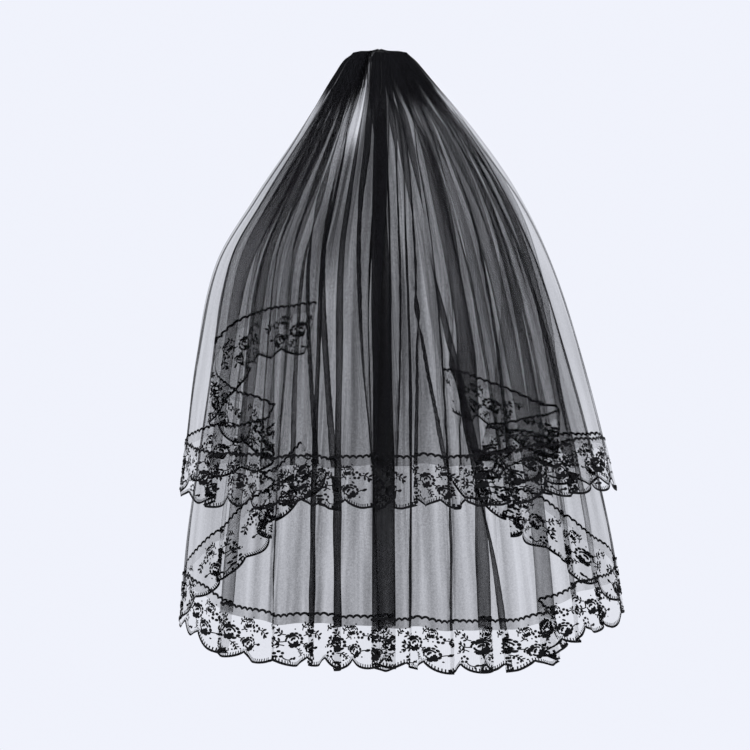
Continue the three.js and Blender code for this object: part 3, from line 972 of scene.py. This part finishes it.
def lay_flower(bm, flower):
    """A small flower with an open middle"""
    half = flower.width / 2
    place = placed(flower.u, flower.v, FLOWER_TURN) @ Matrix.Diagonal((half, half, 1, 1))
    for i in range(flower.petals):
        turned = place @ Matrix.Rotation(i * math.tau / flower.petals, 4, "Z")
        petal = turned @ Matrix.Translation((FLOWER_PETAL_OUT, 0, 0))
        ellipse(bm, petal, FLOWER_PETAL_LENGTH, FLOWER_PETAL_BREADTH, PETAL_SIDES)


def lay_thread(bm, points, width, rise):
    """A flat thread along points, drawn out from its first end"""
    path = np.asarray(points, float)
    along = np.gradient(path, axis=0)
    along /= np.linalg.norm(along, axis=1, keepdims=True)
    side = np.stack([-along[:, 1], along[:, 0]], -1) * width / 2
    lefts = [Vector((*(p + s), rise)) for p, s in zip(path, side)]
    rights = [Vector((*(p - s), rise)) for p, s in zip(path, side)]
    ends = bm.verts.new(lefts[0]), bm.verts.new(rights[0])
    for left, right in zip(lefts[1:], rights[1:]):
        edge = bm.edges.get(ends) or bm.edges.new(ends)
        made = bmesh.ops.extrude_edge_only(bm, edges=[edge])["geom"]
        fresh = [item for item in made if isinstance(item, bmesh.types.BMVert)]
        fresh.sort(key=lambda vert: (vert.co - ends[0].co).length)
        fresh[0].co, fresh[1].co = left, right
        ends = tuple(fresh)


def lay_twig(bm, twig):
    """A bent stem with pairs of small leaves and one at its tip"""
    start, end = np.array([twig.u, twig.v]), np.array([twig.to_u, twig.to_v])
    span = end - start
    bend = twig.bend * np.array([-span[1], span[0]]) / np.linalg.norm(span)
    heading = math.atan2(span[1], span[0])

    def on_stem(share):
        return start + share * span + bend * np.sin(math.pi * share)

    lay_thread(bm, on_stem(np.linspace(0, 1, STEM_STEPS + 1)[:, None]), STEM_WIDTH, THREAD_RISE)
    for i in range(twig.pairs):
        foot = on_stem((i + 1) / (twig.pairs + 0.5))
        for side in (-1, 1):
            turned = placed(*foot, heading + side * LEAF_TURN)
            leaf = turned @ Matrix.Translation((twig.leaf * LEAF_OUT, 0, 0))
            ellipse(bm, leaf, twig.leaf, twig.leaf * LEAF_BREADTH, LEAF_SIDES)
    ellipse(bm, placed(*end, heading), twig.leaf, twig.leaf * TIP_BREADTH, LEAF_SIDES)


def scallop(along, lace):
    """The height of the lace's lower edge above the bottom of the scallops"""
    pitch = lace.repeat / SCALLOPS_PER_REPEAT
    return lace.scallop_depth * (1 - np.abs(np.sin(math.pi * np.asarray(along) / pitch)))


def lay_edges(bm, lace):
    """The header of small arches, the bold scalloped edge and its inward picots"""
    pitch = lace.repeat / HEADER_ARCHES
    u = np.linspace(0, lace.repeat, HEADER_ARCHES * HEADER_STEPS + 1)
    rise = HEADER_RISE * np.abs(np.sin(math.pi * u / pitch)) ** HEADER_ROUNDNESS
    lay_thread(bm, np.stack([u, HEADER_HEIGHT + rise], -1), HEADER_WIDTH, EDGE_RISE)
    u = np.linspace(0, lace.repeat, SCALLOPS_PER_REPEAT * EDGE_STEPS + 1)
    lay_thread(bm, np.stack([u, scallop(u, lace) + EDGE_WIDTH / 2], -1), EDGE_WIDTH, EDGE_RISE)
    count = round(lace.repeat / PICOT_PITCH)
    for i in range(count):
        u = lace.repeat * (i + 0.5) / count
        foot = float(scallop(u, lace)) + EDGE_WIDTH
        lay_thread(bm, [(u, foot), (u, foot + PICOT_LENGTH)], PICOT_WIDTH, EDGE_RISE)


def make_repeats(lace, count):
    """The thread work of a whole edging, flat"""
    bm = bmesh.new()
    lay_edges(bm, lace)
    for bloom in BLOOMS:
        lay_bloom(bm, bloom)
    for flower in FLOWERS:
        lay_flower(bm, flower)
    for twig in TWIGS:
        lay_twig(bm, twig)
    for bud in BUDS:
        ellipse(bm, placed(bud.u, bud.v, math.radians(bud.turn)), bud.length, bud.breadth, PETAL_SIDES)
    for dot in DOTS:
        ellipse(bm, placed(dot.u, dot.v), 2 * DOT_RADIUS, 2 * DOT_RADIUS, DOT_SIDES)
    first = bm.verts[:] + bm.edges[:] + bm.faces[:]
    for i in range(1, count):
        copied = bmesh.ops.duplicate(bm, geom=first)["geom"]
        verts = [item for item in copied if isinstance(item, bmesh.types.BMVert)]
        bmesh.ops.translate(bm, verts=verts, vec=(i * lace.repeat, 0, 0))
    bmesh.ops.remove_doubles(bm, verts=bm.verts[:], dist=MERGE_DISTANCE)
    for face in bm.faces:
        face.material_index = THREAD_SLOT
    return bm


def make_edging(tier, lace, cloth):
    """One tier's lace edging: a net ground with thread work on its outer face"""
    drape = Drape(tier)
    count = round(drape.edge_length / lace.repeat)
    bm = make_repeats(lace, count)
    bmesh.ops.recalc_face_normals(bm, faces=bm.faces[:])
    ground = flat_grid(round(count * lace.repeat / GROUND_COLUMN), GROUND_ROWS)
    whole = lace.hang + lace.overlap
    for vert in ground.verts:
        u = (vert.co.x + 0.5) * count * lace.repeat
        low = float(scallop(u, lace))
        vert.co = Vector((u, low + (vert.co.y + 0.5) * (whole - low), 0))
    mesh = finished_mesh(ground, tier.name + "_edging")
    bm.from_mesh(mesh)
    bm.to_mesh(mesh)
    bm.free()
    flat = points_of(mesh)
    along = flat[:, 0] * drape.edge_length / (count * lace.repeat)
    walk, drop = drape.past_edge(along, lace.hang - flat[:, 1])
    move_points(mesh, drape.at(walk, drop, lace.clearance + flat[:, 2]))
    lay_uv(mesh, np.stack([along / drape.edge_length, flat[:, 1] / whole], -1))
    mesh.shade_smooth()
    mesh.materials.append(ground_material(tier.name + "_ground", drape.edge_length, whole, lace, cloth))
    mesh.materials.append(thread_material(tier.name + "_thread", lace))
    return add_piece(tier.name + "_edging", mesh, "lace", tier.lace_node)


# Operators


class VEIL_OT_edgings(bpy.types.Operator):
    """Makes the lace edging of each tier"""

    bl_idname = "veil.edgings"
    bl_label = "Lace edgings"

    def execute(self, context):
        scene = context.scene
        for tier in TIERS:
            make_edging(tier, scene.veil_lace, scene.veil_cloth)
        return {"FINISHED"}


class VEIL_OT_nets(bpy.types.Operator):
    bl_idname = "veil.nets"
    bl_label = "Net tiers"

    def execute(self, context):
        for tier in TIERS:
            piece, drape = make_net(tier, context.scene.veil_cloth)
            flat_area(drape)
        return {"FINISHED"}


class VEIL_OT_comb(bpy.types.Operator):
    """Finishes the comb in dark plastic"""

    bl_idname = "veil.comb"
    bl_label = "Comb"

    def execute(self, context):
        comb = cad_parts["comb"]
        material = comb_material()
        if not comb.material_slots:
            comb.data.materials.append(material)
        for place in comb.material_slots:
            place.material = material
        return {"FINISHED"}


class VEIL_OT_stage(bpy.types.Operator):
    """Makes the floor, the lights and the camera"""

    bl_idname = "veil.stage"
    bl_label = "Stage"

    def execute(self, context):
        scene = context.scene
        stage = scene.veil_stage
        world = bpy.data.worlds.new("studio")
        scene.world = world
        world.use_nodes = True
        world.node_tree.nodes["Background"].inputs["Color"].default_value = (*stage.backdrop, 1)
        self.lay_floor(scene)
        self.hang_lights(scene)
        self.set_camera(scene, stage)
        scene.view_settings.view_transform = "Standard"
        scene.cycles.max_bounces = BOUNCES
        scene.cycles.transparent_max_bounces = CLEAR_BOUNCES
        return {"FINISHED"}

    def lay_floor(self, scene):
        bm = bmesh.new()
        bmesh.ops.create_circle(bm, cap_ends=True, segments=FLOOR_SIDES, radius=FLOOR_RADIUS)
        bmesh.ops.translate(bm, verts=bm.verts[:], vec=(0, 0, -FLOOR_DROP))
        mesh = finished_mesh(bm, "floor")
        shader = Shader("floor_paper")
        cloud = shader.noise(shader.place(), FLOOR_CLOUD_SCALE, LITTLE_DETAIL)
        tint = shader.tint(cloud, FLOOR_DARK, FLOOR_LIGHT)
        mesh.materials.append(shader.finish(Base_Color=tint, Roughness=FLOOR_ROUGHNESS))
        floor = bpy.data.objects.new("floor", mesh)
        scene.collection.objects.link(floor)

    def hang_lights(self, scene):
        for lamp in LAMPS:
            light = bpy.data.lights.new(lamp.name, "AREA")
            light.size = lamp.size
            light.energy = lamp.power
            hung = bpy.data.objects.new(lamp.name, light)
            hung.location = lamp.place
            aim = Vector(LAMPS_AIM) - hung.location
            hung.rotation_euler = aim.to_track_quat("-Z", "Y").to_euler()
            scene.collection.objects.link(hung)

    def set_camera(self, scene, stage):
        lens = bpy.data.cameras.new("camera")
        lens.sensor_width = SENSOR_MM
        lens.lens = SENSOR_MM * stage.distance / stage.frame_width
        lens.clip_end = CAMERA_REACH
        camera = bpy.data.objects.new("camera", lens)
        camera.location = (stage.centre_x, -stage.distance, stage.centre_z)
        camera.rotation_euler = (math.pi / 2, 0, 0)
        scene.collection.objects.link(camera)
        scene.camera = camera


class VEIL_PT_panel(bpy.types.Panel):
    """The veil's pieces and sizes"""

    bl_label = "Veil"
    bl_idname = "VEIL_PT_panel"
    bl_space_type = "VIEW_3D"
    bl_region_type = "UI"
    bl_category = "Veil"

    def draw(self, context):
        scene = context.scene
        for operator in OPERATORS:
            self.layout.operator(operator.bl_idname)
        for group in (scene.veil_cloth, scene.veil_lace, scene.veil_stage):
            box = self.layout.box()
            for name in group.bl_rna.properties.keys():
                if name not in ("rna_type", "name"):
                    box.prop(group, name)


SETTINGS = {"veil_cloth": ClothSettings, "veil_lace": LaceSettings, "veil_stage": StageSettings}
OPERATORS = (VEIL_OT_edgings, VEIL_OT_nets, VEIL_OT_comb, VEIL_OT_stage)
CLASSES = (*SETTINGS.values(), *OPERATORS, VEIL_PT_panel)


def register():
    for item in CLASSES:
        bpy.utils.register_class(item)
    for name, group in SETTINGS.items():
        setattr(bpy.types.Scene, name, bpy.props.PointerProperty(type=group))


def unregister():
    for name in SETTINGS:
        delattr(bpy.types.Scene, name)
    for item in reversed(CLASSES):
        bpy.utils.unregister_class(item)


def main():
    register()
    bpy.ops.veil.edgings()
    bpy.ops.veil.nets()
    bpy.ops.veil.comb()
    bpy.ops.veil.stage()


if __name__ == "__main__":
    main()
